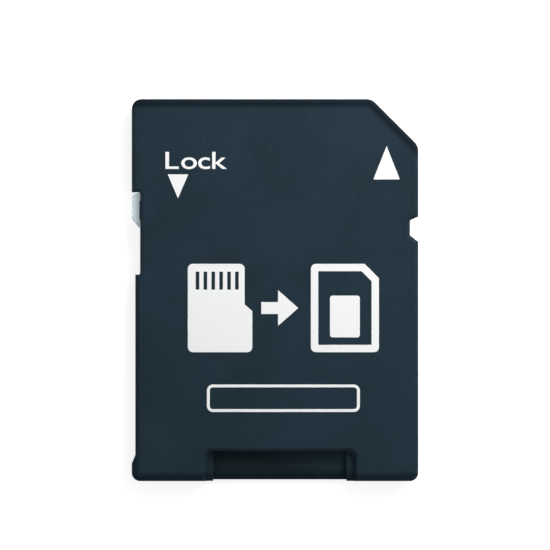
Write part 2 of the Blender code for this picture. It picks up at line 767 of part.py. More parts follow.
def make_slider(material):
    """The lock slider, with its origin on the line that it slides along."""
    half = GRIP_LENGTH / 2
    outer = GRIP_INSET - LOCK_NOTCH_DEPTH
    grip_outline = rounded(
        [
            (outer, half - GRIP_UPPER_TAPER, GRIP_CORNER_RADIUS),
            (outer, -half + GRIP_LOWER_TAPER, GRIP_CORNER_RADIUS),
            (-SLIDE_GAP, -half, 0),
            (-SLIDE_GAP, half, 0),
        ]
    )
    grip = extruded(grip_outline, -GRIP_HEIGHT / 2, GRIP_HEIGHT / 2)
    for level in (-GRIP_HEIGHT / 2, GRIP_HEIGHT / 2):
        bevel_level(grip, level, GRIP_EDGE_ROUND, 2)
    slider = place("lock_slider", grip, material, location=(LOCK_FLOOR, SLIDER_REST, RAIL_MIDDLE))
    flange_left = LIP_THICKNESS + SLIDE_GAP
    flange_right = flange_left + FLANGE_THICKNESS
    web_right = flange_left + FLANGE_THICKNESS / 2
    web = rectangle(-LOCK_NOTCH_DEPTH / 2, web_right, -WEB_LENGTH / 2, WEB_LENGTH / 2)
    flange = rectangle(flange_left, flange_right, -FLANGE_LENGTH / 2, FLANGE_LENGTH / 2, GRIP_CORNER_RADIUS)
    pieces = [block("slider web", web, WEB_HEIGHT), block("slider flange", flange, FLANGE_HEIGHT)]
    ridges = ridge_cutters()
    for tool in pieces + ridges:
        tool.parent = slider
    combine(slider, "UNION", pieces)
    return combine(slider, "DIFFERENCE", ridges)


# Retention spring


def make_retention_spring(metal):
    """A bowed leaf whose middle reaches into the slot."""
    back_x = SLOT_NARROW_RIGHT + LEAF_POCKET_WIDTH - FIT_GAP - LEAF_THICKNESS / 2
    bow = back_x - LEAF_THICKNESS / 2 - SLOT_NARROW_RIGHT + LEAF_REACH
    start = leaf_pocket_ends()[0] - FIT_GAP
    bottom = SLOT_FLOOR
    top = PARTING - SEAT_GAP
    stations = []
    for step in range(LEAF_STEPS + 1):
        run = LEAF_LENGTH * step / LEAF_STEPS
        inner = min(max(run - LEAF_FLAT_RUN, 0), LEAF_LENGTH - 2 * LEAF_FLAT_RUN)
        share = inner / (LEAF_LENGTH - 2 * LEAF_FLAT_RUN)
        x = back_x - bow * (1 - math.cos(2 * math.pi * share)) / 2
        stations.append(((x, start - run, (bottom + top) / 2), top - bottom))
    return place("retention_spring", ribbon(stations, Vector((0, 0, 1)), LEAF_THICKNESS), metal)


def main():
    for item in list(bpy.data.objects):
        bpy.data.objects.remove(item, do_unlink=True)
    cover_plastic = principled("cover_plastic", (38, 53, 63), 0.5, 0)
    carrier_plastic = principled("carrier_plastic", (24, 24, 26), 0.55, 0)
    slider_plastic = principled("slider_plastic", (222, 229, 231), 0.45, 0)
    contact_metal = principled("contact_metal", (212, 176, 106), 0.25, 1)
    spring_steel = principled("spring_steel", (176, 178, 180), 0.3, 1)
    lock_tools = lock_cutters()
    make_back_cover(cover_plastic, lock_tools)
    make_carrier(carrier_plastic)
    make_leads(contact_metal)
    make_retention_spring(spring_steel)
    make_slider(slider_plastic)
    make_front_cover(cover_plastic, lock_tools)


main()
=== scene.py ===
"""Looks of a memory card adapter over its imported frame: finishes, front print, studio and camera.

Lengths are in metres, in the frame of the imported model: +Y towards the leading edge, +Z out of
the front.
"""

import logging
import math
from dataclasses import dataclass
from enum import Enum
from typing import Callable, Mapping, Optional, Sequence, Union

import bmesh
import bpy
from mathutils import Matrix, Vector


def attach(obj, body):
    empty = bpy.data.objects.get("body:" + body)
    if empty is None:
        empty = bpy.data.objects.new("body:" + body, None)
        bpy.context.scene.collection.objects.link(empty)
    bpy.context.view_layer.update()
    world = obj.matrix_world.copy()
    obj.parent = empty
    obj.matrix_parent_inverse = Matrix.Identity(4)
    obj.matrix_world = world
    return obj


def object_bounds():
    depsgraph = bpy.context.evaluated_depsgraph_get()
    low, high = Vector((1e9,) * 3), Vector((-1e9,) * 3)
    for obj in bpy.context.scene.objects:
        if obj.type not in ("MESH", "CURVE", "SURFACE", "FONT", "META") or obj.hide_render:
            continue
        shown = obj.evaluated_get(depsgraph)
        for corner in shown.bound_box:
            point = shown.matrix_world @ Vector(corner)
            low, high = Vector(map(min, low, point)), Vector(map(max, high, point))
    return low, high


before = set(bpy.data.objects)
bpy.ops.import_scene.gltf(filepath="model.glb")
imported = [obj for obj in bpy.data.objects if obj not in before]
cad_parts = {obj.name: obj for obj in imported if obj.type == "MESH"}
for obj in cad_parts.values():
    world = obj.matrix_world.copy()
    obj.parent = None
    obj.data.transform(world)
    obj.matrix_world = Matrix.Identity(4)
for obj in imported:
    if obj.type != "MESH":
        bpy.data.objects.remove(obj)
CAD_LOW, CAD_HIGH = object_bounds()

LOG = logging.getLogger("memory_card_adapter")

Colour = tuple[float, float, float]
Place = tuple[float, float]
Span = tuple[float, float]  # the values at the two ends of a range or a change
Rounding = tuple[float, int]  # how far from a corner it starts, and its number of steps
Choice = Callable[[Vector], bool]
Value = Union[float, Sequence[float], bpy.types.NodeSocket]
Sockets = Mapping[Union[str, int], bpy.types.NodeSocket]

WHITE: Colour = (1.0, 1.0, 1.0)
SOFTENING_SAMPLES = 6
WEAR_SAMPLES = 8

FRONT_FACE = CAD_HIGH.z
INK_SINK = 0.000004
INK_PROUD = 0.000016
INK_BASE = FRONT_FACE - INK_SINK
INK_THICKNESS = INK_SINK + INK_PROUD
INK_EDGE = 0.000005
INK_EDGE_ANGLE = math.radians(60)
FLAT_ANGLE = math.radians(1)
NEAR = 0.00001
MERGE = 0.0000001


class Body(Enum):
    """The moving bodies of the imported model."""

    HOUSING = "housing"
    SLIDER = "slider"


class Axis(Enum):
    """The two directions in which a flat sheet is cut."""

    ACROSS = 0
    ALONG = 1


class Socket(Enum):
    """The kinds of socket that the shared effects use."""

    NUMBER = "NodeSocketFloat"
    VECTOR = "NodeSocketVector"


@dataclass(frozen=True)
class Pattern:
    """How a noise pattern is layered, and which part of its range becomes 0 to 1."""

    detail: float
    low: float
    high: float
    roughness: float = 0.5
    distortion: float = 0.0


@dataclass(frozen=True)
class Relief:
    """How far a pattern rises, how much of that shows, and how far edges under it are softened."""

    height: float
    strength: float
    softness: float = 0.0


class NodeBoard:
    """One node tree, with short calls that place and join its nodes."""

    def __init__(self, tree: bpy.types.NodeTree) -> None:
        """Keeps the tree."""
        self.tree = tree

    def feed(self, socket: bpy.types.NodeSocket, value: Value) -> None:
        """Joins an input to what feeds it, or writes a plain value there.

        Args:
            socket: the input.
            value: the socket that feeds it, or a number, vector or colour.
        """
        if isinstance(value, bpy.types.NodeSocket):
            self.tree.links.new(value, socket)
        elif socket.type == "RGBA":
            socket.default_value = (*value, 1.0)
        else:
            socket.default_value = value

    def add(
        self,
        kind: str,
        inputs: Optional[Mapping[Union[str, int], Value]] = None,
        **settings: object,
    ) -> bpy.types.Node:
        """Places one node and feeds its inputs.

        Args:
            kind: the node's type name.
            inputs: socket name or number, to what feeds it.
            **settings: the node's own properties.

        Returns:
            The new node.
        """
        node = self.tree.nodes.new(kind)
        for name, value in settings.items():
            setattr(node, name, value)
        for key, value in (inputs or {}).items():
            self.feed(node.inputs[key], value)
        return node

    def parts(self, vector: Value) -> Sockets:
        """Splits a vector into the outputs X, Y and Z."""
        return self.add("ShaderNodeSeparateXYZ", {"Vector": vector}).outputs

    def reckon(self, operation: str, *terms: Value) -> bpy.types.NodeSocket:
        """Works one sum out, by the Math node's operation on its terms."""
        return self.add("ShaderNodeMath", dict(enumerate(terms)), operation=operation).outputs[0]

    def rate(self, size: Value) -> bpy.types.NodeSocket:
        """Gives how often a size fits into a metre."""
        return self.reckon("DIVIDE", 1.0, size)

    def spread(
        self, value: Value, low: Value, high: Value, to_low: Value = 0.0, to_high: Value = 1.0
    ) -> bpy.types.NodeSocket:
        """Maps a value from one range to another with soft ends.

        Args:
            value: what is mapped.
            low: value that gives to_low.
            high: value that gives to_high.
            to_low: result at the low end.
            to_high: result at the high end.

        Returns:
            The socket with the mapped value.
        """
        names = ("Value", "From Min", "From Max", "To Min", "To Max")
        inputs = dict(zip(names, (value, low, high, to_low, to_high)))
        node = self.add("ShaderNodeMapRange", inputs, interpolation_type="SMOOTHSTEP")
        return node.outputs["Result"]

    def tint(self, share: Value, first: Value, second: Value) -> bpy.types.NodeSocket:
        """Blends two colours.

        Args:
            share: how much of the second colour shows, from 0 to 1.
            first: the colour at 0.
            second: the colour at 1.

        Returns:
            The socket with the blended colour.
        """
        node = self.add("ShaderNodeMix", data_type="RGBA")
        inputs = {socket.identifier: socket for socket in node.inputs}
        for name, value in (("Factor_Float", share), ("A_Color", first), ("B_Color", second)):
            self.feed(inputs[name], value)
        outputs = {socket.identifier: socket for socket in node.outputs}
        return outputs["Result_Color"]

    def pattern(self, look: Pattern, vector: Value, scale: Value = 1.0) -> bpy.types.NodeSocket:
        """Places a noise pattern.

        Args:
            look: how it is layered.
            vector: where it is read.
            scale: how fine it is.

        Returns:
            The socket with the pattern, from 0 to 1.
        """
        inputs = {
            "Vector": vector,
            "Scale": scale,
            "Detail": look.detail,
            "Roughness": look.roughness,
            "Distortion": look.distortion,
        }
        noise = self.add("ShaderNodeTexNoise", inputs).outputs["Fac"]
        return self.spread(noise, look.low, look.high)

    def stretch(self, vector: Value, across: Value, along: Value) -> bpy.types.NodeSocket:
        """Draws coordinates out, so that a pattern on them turns into lines along Y.

        Args:
            vector: the coordinates.
            across: their rate on X.
            along: their rate on Y and Z.

        Returns:
            The socket with the stretched coordinates.
        """
        rates = self.add("ShaderNodeCombineXYZ", {"X": across, "Y": along, "Z": along})
        inputs = {0: vector, 1: rates.outputs["Vector"]}
        return self.add("ShaderNodeVectorMath", inputs, operation="MULTIPLY").outputs["Vector"]

    def effect(self, tree: bpy.types.NodeTree, *values: Value) -> Sockets:
        """Places a shared effect with its inputs: where it is read, and then its sizes."""
        return self.add("ShaderNodeGroup", dict(enumerate(values)), node_tree=tree).outputs

    def raised(self, look: Relief, pattern: Value) -> bpy.types.NodeSocket:
        """Raises a pattern from the surface.

        Args:
            look: how it is raised.
            pattern: the pattern.

        Returns:
            The socket with the normal.
        """
        inputs = {"Height": pattern, "Distance": look.height, "Strength": look.strength}
        if look.softness:
            soft = self.add("ShaderNodeBevel", {"Radius": look.softness}, samples=SOFTENING_SAMPLES)
            inputs["Normal"] = soft.outputs["Normal"]
        return self.add("ShaderNodeBump", inputs).outputs["Normal"]

    def shade(
        self, colour: Value, roughness: Value, normal: Value, fixed: Mapping[str, float]
    ) -> None:
        """Adds the shader and the material's output.

        Args:
            colour: the base colour.
            roughness: the roughness.
            normal: the normal.
            fixed: the shader's inputs that are the same all over.
        """
        inputs = {"Base Color": colour, "Roughness": roughness, "Normal": normal, **fixed}
        shader = self.add("ShaderNodeBsdfPrincipled", inputs)
        self.add("ShaderNodeOutputMaterial", {"Surface": shader.outputs["BSDF"]})


def start_material(name: str) -> tuple[bpy.types.Material, NodeBoard, bpy.types.NodeSocket]:
    """Starts a material.

    Args:
        name: its name.

    Returns:
        The material, its board, and the object coordinates on it.
    """
    material = bpy.data.materials.new(name)
    material.use_nodes = True
    material.node_tree.nodes.clear()
    board = NodeBoard(material.node_tree)
    return material, board, board.add("ShaderNodeTexCoord").outputs["Object"]


class SharedEffects:
    """Surface effects that several finishes use, each a node group that is built once."""

    GRAIN = Pattern(detail=2.0, low=0.30, high=0.70, roughness=0.6)
    PATCHES = Pattern(detail=3.0, low=0.30, high=0.70)
    BREAKS = Pattern(detail=3.0, low=0.45, high=0.70, roughness=0.65)
    LINES = Pattern(detail=2.0, low=0.35, high=0.65)
    STREAKS = Pattern(detail=1.0, low=0.50, high=0.68)
    SMUDGES = Pattern(detail=4.0, low=0.42, high=0.70, distortion=0.6)
    SCRATCHES = Pattern(detail=1.0, low=0.70, high=0.78)
    EDGE_LIKENESS: Span = (0.995, 0.85)  # of the rounded normal to the plain one
    STREAK_SCALE = 0.2
    SCRATCH_TURN = math.radians(34)
    SCRATCH_THINNESS = 60.0

    def __init__(self) -> None:
        """Builds the groups."""
        self.moulded_grain = self._moulded_grain()
        self.worn_edges = self._worn_edges()
        self.drawn_lines = self._drawn_lines()
        self.handling_marks = self._handling_marks()

    @staticmethod
    def _group(
        name: str, sizes: Sequence[str], results: Sequence[str]
    ) -> tuple[NodeBoard, Sockets, Sockets]:
        """Starts a group that reads a vector and some sizes.

        Args:
            name: the group's name.
            sizes: the names of its sizes.
            results: the names of its outputs, each a number.

        Returns:
            The group's board, the sockets that it is given, and those of its results.
        """
        tree = bpy.data.node_groups.new(name, "ShaderNodeTree")
        inputs = {"Vector": Socket.VECTOR, **dict.fromkeys(sizes, Socket.NUMBER)}
        outputs = dict.fromkeys(results, Socket.NUMBER)
        for way, sockets in (("INPUT", inputs), ("OUTPUT", outputs)):
            for label, kind in sockets.items():
                tree.interface.new_socket(name=label, in_out=way, socket_type=kind.value)
        board = NodeBoard(tree)
        given = board.add("NodeGroupInput").outputs
        return board, given, board.add("NodeGroupOutput").inputs

    def _moulded_grain(self) -> bpy.types.NodeTree:
        """Fine eroded grain of a mould, with slow patches of tone.

        Returns:
            The group, with outputs Grain and Patches from 0 to 1.
        """
        board, given, result = self._group(
            "moulded_grain", ("Grain Size", "Patch Size"), ("Grain", "Patches")
        )
        grain = board.pattern(self.GRAIN, given["Vector"], board.rate(given["Grain Size"]))
        patches = board.pattern(self.PATCHES, given["Vector"], board.rate(given["Patch Size"]))
        board.feed(result["Grain"], grain)
        board.feed(result["Patches"], patches)
        return board.tree

    def _worn_edges(self) -> bpy.types.NodeTree:
        """Band along sharp edges, whole and broken up as rubbing leaves it.

        Returns:
            The group, with outputs Wear and Edge from 0 to 1.
        """
        board, given, result = self._group("worn_edges", ("Reach", "Break Size"), ("Wear", "Edge"))
        rounded = board.add("ShaderNodeBevel", {"Radius": given["Reach"]}, samples=WEAR_SAMPLES)
        plain = board.add("ShaderNodeNewGeometry")
        likeness = board.add(
            "ShaderNodeVectorMath",
            {0: rounded.outputs["Normal"], 1: plain.outputs["Normal"]},
            operation="DOT_PRODUCT",
        )
        edge = board.spread(likeness.outputs["Value"], *self.EDGE_LIKENESS)
        broken = board.pattern(self.BREAKS, given["Vector"], board.rate(given["Break Size"]))
        board.feed(result["Wear"], board.reckon("MULTIPLY", edge, broken))
        board.feed(result["Edge"], edge)
        return board.tree

    def _drawn_lines(self) -> bpy.types.NodeTree:
        """Fine lines along Y, as rolling, stamping and sliding leave them.

        Returns:
            The group, with outputs Lines and Streaks from 0 to 1.
        """
        board, given, result = self._group(
            "drawn_lines", ("Line Width", "Line Length"), ("Lines", "Streaks")
        )
        across, along = board.rate(given["Line Width"]), board.rate(given["Line Length"])
        stretched = board.stretch(given["Vector"], across, along)
        board.feed(result["Lines"], board.pattern(self.LINES, stretched))
        board.feed(result["Streaks"], board.pattern(self.STREAKS, stretched, self.STREAK_SCALE))
        return board.tree

    def _handling_marks(self) -> bpy.types.NodeTree:
        """Soft smudges from fingers, and a few hairline scratches.

        Returns:
            The group, with outputs Smudges and Scratches from 0 to 1.
        """
        board, given, result = self._group(
            "handling_marks", ("Smudge Size", "Scratch Length"), ("Smudges", "Scratches")
        )
        smudges = board.pattern(self.SMUDGES, given["Vector"], board.rate(given["Smudge Size"]))
        turned = board.add(
            "ShaderNodeVectorRotate",
            {"Vector": given["Vector"], "Angle": self.SCRATCH_TURN},
            rotation_type="Z_AXIS",
        )
        along = board.rate(given["Scratch Length"])
        across = board.reckon("MULTIPLY", along, self.SCRATCH_THINNESS)
        hairs = board.stretch(turned.outputs["Vector"], across, along)
        board.feed(result["Smudges"], smudges)
        board.feed(result["Scratches"], board.pattern(self.SCRATCHES, hairs))
        return board.tree


@dataclass(frozen=True)
class CoverPlastic:
    """Dark blue-grey moulding with an eroded grain, a little duller round its rim, where shade is
    painted.
    """

    name: str = "cover_plastic"
    face_tone: Colour = (0.0118, 0.0298, 0.0462)
    patch_tone: Colour = (0.0085, 0.0240, 0.0362)
    # painted shade along the rounded outline
    rim_shade_tone: Colour = (0.0001, 0.0074, 0.0150)
    # painted shade on floors below the front face, in the recess and the slot
    inner_shade_tone: Colour = (0.0060, 0.0165, 0.0220)
    # painted light on those floors, lighter towards +X and towards the leading end
    floor_light_tone: Colour = (0.0180, 0.0440, 0.0600)
    worn_tone: Colour = (0.0500, 0.0700, 0.0820)
    roughness: Span = (0.56, 0.60)  # of the face, and of the rim
    smudge_gloss: float = 0.07
    ior: float = 1.46
    specular: float = 0.15
    relief: Relief = Relief(height=0.000014, strength=0.9, softness=0.00004)
    grain_size: float = 0.00010
    speckle_share: float = 0.06
    patch_size: float = 0.0042
    edge_reach: float = 0.00009
    break_size: float = 0.0011
    wear_share: float = 0.35
    smudge_size: float = 0.007
    scratch_length: float = 0.006
    scratch_share: float = 0.2
    scratched_facing: Span = (0.80, 0.98)
    floor_facing: Span = (0.3, 0.8)
    floor_depth: Span = (0.0005, 0.0010)
    # slant and reach of the painted light on the inner floors
    floor_light_slant: float = 3.0
    floor_light_reach: Span = (-0.0450, -0.0330)
    chamfer: float = 0.0039
    side_band: Span = (0.00078, 0.00030)  # where the rim starts, and where it is full
    end_band: Span = (0.00090, 0.00042)
    # shares of the painted rim shade on each side
    leading_share: float = 1.0
    trailing_share: float = 0.80
    left_shade_shares: Span = (0.80, 0.15)  # painted shade on the lower left side, and on the upper left side
    left_reach: Span = (0.001, 0.008)
    right_share: float = 0.05

    def shaded_rim(self, board: NodeBoard, coordinates: bpy.types.NodeSocket) -> bpy.types.NodeSocket:
        """Band of painted shade along the rounded outline, almost none on the right side and less
        on the upper left.

        Args:
            board: the material's board.
            coordinates: object coordinates.

        Returns:
            The socket with the band's share, which is 0 inside it.
        """
        place = board.parts(coordinates)
        x, y = place["X"], place["Y"]
        half_width, half_length = CAD_HIGH.x, CAD_HIGH.y
        reach = half_width + half_length - self.chamfer
        to_corner = board.reckon("SUBTRACT", reach, board.reckon("ADD", x, y))
        corner = board.reckon("MULTIPLY", to_corner, math.sqrt(0.5))
        left_share = board.spread(y, *self.left_reach, *self.left_shade_shares)
        bands = (
            (board.reckon("ADD", half_width, x), self.side_band, left_share),
            (board.reckon("SUBTRACT", half_width, x), self.side_band, self.right_share),
            (board.reckon("ADD", half_length, y), self.end_band, self.trailing_share),
            (board.reckon("SUBTRACT", half_length, y), self.end_band, self.leading_share),
            (corner, self.end_band, self.leading_share),
        )
        shares = [board.spread(distance, *band, 0.0, share) for distance, band, share in bands]
        shaded_rim = shares[0]
        for share in shares[1:]:
            shaded_rim = board.reckon("MAXIMUM", shaded_rim, share)
        return shaded_rim

    def inner_floor(
        self, board: NodeBoard, height: bpy.types.NodeSocket, upward: bpy.types.NodeSocket
    ) -> bpy.types.NodeSocket:
        """Marks floors below the front face that look up, as in the recess and the slot, where
        light and shade are painted.
        """
        deep = board.spread(height, *(FRONT_FACE - depth for depth in self.floor_depth))
        return board.reckon("MULTIPLY", deep, board.spread(upward, *self.floor_facing))

    def build(self, effects: SharedEffects) -> bpy.types.Material:
        """Makes the material.

        Args:
            effects: the shared effects.

        Returns:
            The material.
        """
        material, board, coordinates = start_material(self.name)
        grain = board.effect(effects.moulded_grain, coordinates, self.grain_size, self.patch_size)
        worn = board.effect(effects.worn_edges, coordinates, self.edge_reach, self.break_size)
        marks = board.effect(
            effects.handling_marks, coordinates, self.smudge_size, self.scratch_length
        )
        place = board.parts(coordinates)
        upward = board.parts(board.add("ShaderNodeTexCoord").outputs["Normal"])["Z"]
        shaded_rim = self.shaded_rim(board, coordinates)
        # painted shade on the inner floors
        shaded_floor = self.inner_floor(board, place["Z"], upward)
        # painted light on the inner floors, lighter towards +X and towards the leading end
        slanted = board.reckon("MULTIPLY_ADD", place["Y"], self.floor_light_slant, place["X"])
        floor_light = board.spread(slanted, *self.floor_light_reach)
        floor_shade_and_light = board.tint(floor_light, self.inner_shade_tone, self.floor_light_tone)
        flat = board.reckon("ABSOLUTE", upward)
        scratched = board.spread(flat, *self.scratched_facing, 0.0, self.scratch_share)
        speckles = board.reckon("MULTIPLY", grain["Grain"], self.speckle_share)
        wear = board.reckon("MULTIPLY", worn["Wear"], self.wear_share)
        scratches = board.reckon("MULTIPLY", marks["Scratches"], scratched)
        tone = board.tint(grain["Patches"], self.patch_tone, self.face_tone)
        tone = board.tint(speckles, tone, self.worn_tone)
        tone = board.tint(shaded_floor, tone, floor_shade_and_light)
        # painted shade along the rim
        tone = board.tint(shaded_rim, tone, self.rim_shade_tone)
        tone = board.tint(board.reckon("MAXIMUM", wear, scratches), tone, self.worn_tone)
        matte = board.spread(shaded_rim, 0.0, 1.0, *self.roughness)
        smudged = board.reckon("MULTIPLY", marks["Smudges"], -self.smudge_gloss)
        normal = board.raised(self.relief, grain["Grain"])
        fixed = {"IOR": self.ior, "Specular IOR Level": self.specular}
        board.shade(tone, board.reckon("ADD", matte, smudged), normal, fixed)
        return material


@dataclass(frozen=True)
class CarrierMoulding:
    """Smooth black insulating plastic with faint flow lines."""

    name: str = "carrier_plastic"
    tone: Colour = (0.0091, 0.0091, 0.0103)
    flow_tone: Colour = (0.0150, 0.0152, 0.0170)
    roughness: Span = (0.38, 0.48)  # between, and on flow lines
    ior: float = 1.5
    relief: Relief = Relief(height=0.000002, strength=0.5)
    grain_size: float = 0.00006
    patch_size: float = 0.0016
    line_width: float = 0.0003
    line_length: float = 0.003

    def build(self, effects: SharedEffects) -> bpy.types.Material:
        """Makes the material.

        Args:
            effects: the shared effects.

        Returns:
            The material.
        """
        material, board, coordinates = start_material(self.name)
        grain = board.effect(effects.moulded_grain, coordinates, self.grain_size, self.patch_size)
        flow = board.effect(effects.drawn_lines, coordinates, self.line_width, self.line_length)
        share = board.reckon("MULTIPLY", grain["Patches"], flow["Lines"])
        tone = board.tint(share, self.tone, self.flow_tone)
        rough = board.spread(flow["Lines"], 0.0, 1.0, *self.roughness)
        normal = board.raised(self.relief, grain["Grain"])
        board.shade(tone, rough, normal, {"IOR": self.ior})
        return material


@dataclass(frozen=True)
class SliderMoulding:
    """Off-white moulding, polished and with a painted sheen on its ridges, and painted shade
    towards the housing.
    """

    name: str = "slider_plastic"
    tone: Colour = (0.6500, 0.7450, 0.7700)
    patch_tone: Colour = (0.5800, 0.6850, 0.7200)
    # lighter on every sharp edge: rubbing, and a painted sheen
    rubbed_sheen_tone: Colour = (0.8400, 0.8650, 0.8700)
    # painted shade towards the housing
    inner_shade_tone: Colour = (0.3000, 0.3650, 0.4000)
    depth: Span = (-0.01195, -0.01130)  # painted shade starts at the outer side, and is full at the housing
    roughness: Span = (0.42, 0.26)  # between, and on ridges
    ior: float = 1.49
    relief: Relief = Relief(height=0.000002, strength=0.5, softness=0.00003)
    grain_size: float = 0.00005
    patch_size: float = 0.0009
    edge_reach: float = 0.00007
    break_size: float = 0.0004

    def build(self, effects: SharedEffects) -> bpy.types.Material:
        """Makes the material.

        Args:
            effects: the shared effects.

        Returns:
            The material.
        """
        material, board, coordinates = start_material(self.name)
        grain = board.effect(effects.moulded_grain, coordinates, self.grain_size, self.patch_size)
        worn = board.effect(effects.worn_edges, coordinates, self.edge_reach, self.break_size)
        # painted shade, growing towards the housing
        inner_shade = board.spread(board.parts(coordinates)["X"], *self.depth)
        tone = board.tint(grain["Patches"], self.patch_tone, self.tone)
        # painted sheen and rubbing on every sharp edge
        tone = board.tint(worn["Edge"], tone, self.rubbed_sheen_tone)
        tone = board.tint(inner_shade, tone, self.inner_shade_tone)
        rough = board.spread(worn["Edge"], 0.0, 1.0, *self.roughness)
        normal = board.raised(self.relief, grain["Grain"])
        board.shade(tone, rough, normal, {"IOR": self.ior})
        return material


@dataclass(frozen=True)
class GoldPlate:
    """Thin gold plating with wiped lines along the pads and slightly dull patches."""

    name: str = "contact_metal"
    tone: Colour = (0.9300, 0.7000, 0.3200)
    dull_tone: Colour = (0.8000, 0.5600, 0.2200)
    dull_share: float = 0.7
    streak_share: float = 0.35
    roughness: Span = (0.22, 0.32)  # between, and on wiped lines
    relief: Relief = Relief(height=0.0000004, strength=0.3, softness=0.00003)
    grain_size: float = 0.00004
    patch_size: float = 0.0011
    line_width: float = 0.00004
    line_length: float = 0.0040

    def build(self, effects: SharedEffects) -> bpy.types.Material:
        """Makes the material.

        Args:
            effects: the shared effects.

        Returns:
            The material.
        """
        material, board, coordinates = start_material(self.name)
        grain = board.effect(effects.moulded_grain, coordinates, self.grain_size, self.patch_size)
        lines = board.effect(effects.drawn_lines, coordinates, self.line_width, self.line_length)
        dull = board.reckon("MULTIPLY", grain["Patches"], self.dull_share)
        streaks = board.reckon("MULTIPLY", lines["Streaks"], self.streak_share)
        tone = board.tint(board.reckon("MAXIMUM", dull, streaks), self.tone, self.dull_tone)
        rough = board.spread(lines["Lines"], 0.0, 1.0, *self.roughness)
        normal = board.raised(self.relief, lines["Lines"])
        board.shade(tone, rough, normal, {"Metallic": 1.0})
        return material


@dataclass(frozen=True)
class RolledSteel:
    """Bright rolled strip with lines along its length."""

    name: str = "spring_steel"
    tone: Colour = (0.4342, 0.4452, 0.4564)
    dark_tone: Colour = (0.3000, 0.3080, 0.3200)
    roughness: Span = (0.22, 0.38)  # between, and on rolled lines
    relief: Relief = Relief(height=0.000001, strength=0.5)
    line_width: float = 0.00002
    line_length: float = 0.0018

    def build(self, effects: SharedEffects) -> bpy.types.Material:
        """Makes the material.

        Args:
            effects: the shared effects.

        Returns:
            The material.
        """
        material, board, coordinates = start_material(self.name)
        lines = board.effect(effects.drawn_lines, coordinates, self.line_width, self.line_length)
        tone = board.tint(lines["Streaks"], self.tone, self.dark_tone)
        rough = board.spread(lines["Lines"], 0.0, 1.0, *self.roughness)
        normal = board.raised(self.relief, lines["Lines"])
        board.shade(tone, rough, normal, {"Metallic": 1.0})
        return material


@dataclass(frozen=True)
class PadInk:
    """White pad-printed ink, a little thinner in places."""

    name: str = "white_ink"
    tone: Colour = (0.9700, 0.9750, 0.9750)
    thin_tone: Colour = (0.8700, 0.8850, 0.8900)
    thin_share: float = 0.35
    roughness: Span = (0.50, 0.62)  # of the ink, and of its dry patches
    specular: float = 0.3
    relief: Relief = Relief(height=0.000003, strength=0.4)
    grain_size: float = 0.00011
    patch_size: float = 0.0012

    def build(self, effects: SharedEffects) -> bpy.types.Material:
        """Makes the material.

        Args:
            effects: the shared effects.

        Returns:
            The material.
        """
        material, board, coordinates = start_material(self.name)
        grain = board.effect(effects.moulded_grain, coordinates, self.grain_size, self.patch_size)
        thin = board.reckon("MULTIPLY", grain["Grain"], self.thin_share)
        tone = board.tint(thin, self.tone, self.thin_tone)
        rough = board.spread(grain["Patches"], 0.0, 1.0, *self.roughness)
        normal = board.raised(self.relief, grain["Grain"])
        board.shade(tone, rough, normal, {"Specular IOR Level": self.specular})
        return material


